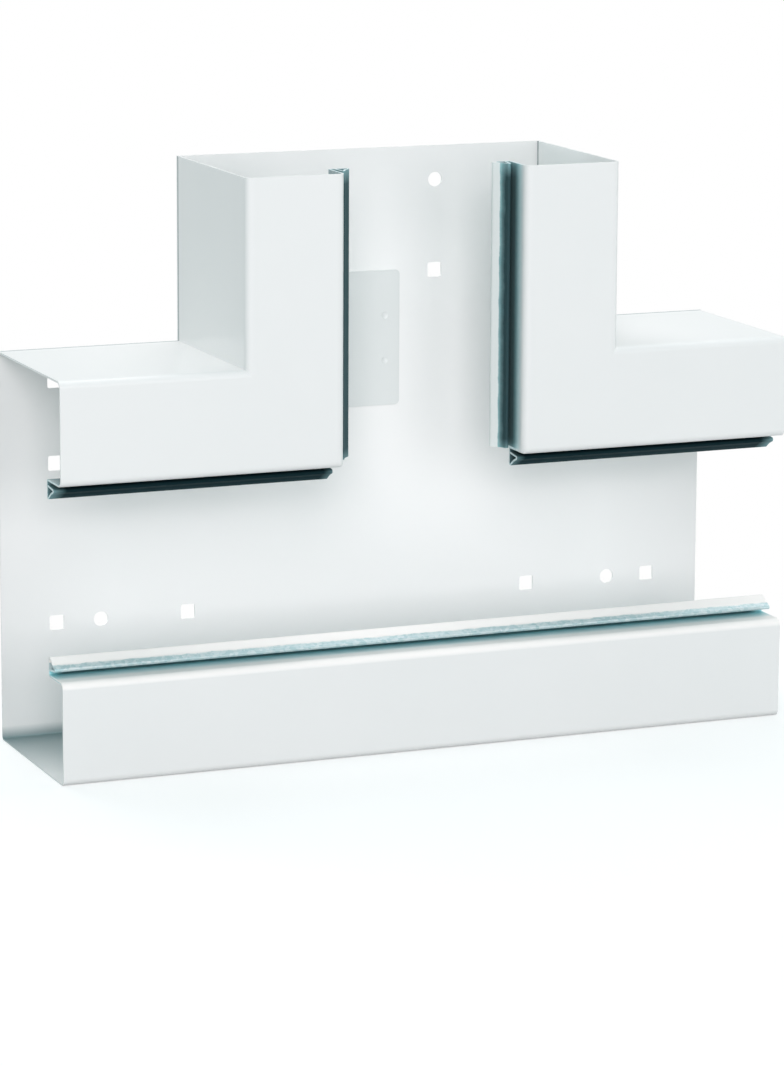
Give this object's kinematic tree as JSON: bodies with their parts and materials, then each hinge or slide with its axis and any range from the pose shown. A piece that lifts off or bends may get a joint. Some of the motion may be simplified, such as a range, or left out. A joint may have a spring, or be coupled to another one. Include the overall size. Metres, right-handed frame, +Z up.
{
  "type": "trunking tee fitting",
  "caption": "Flat tee for deep wall trunking in folded white-coated steel, open at the front between inturned lips, joining a straight run to an upward branch.",
  "frame": {"origin": "on the wall plane at the rear of the back, where the centre lines of run and branch cross", "axes": "+X along the run, +Y into the wall, +Z up along the branch"},
  "size_m": [0.332, 0.085, 0.25],
  "materials": {
    "coated_tray": "white powder coat, satin",
    "coated_corner": "white powder coat, satin",
    "coated_plate": "white powder coat, satin"
  },
  "bodies": {
    "root": {"back_tray": "coated_tray", "left_corner_box": "coated_corner", "right_corner_box": "coated_corner", "joint_plate": "coated_plate"}
  },
  "joints": []
}
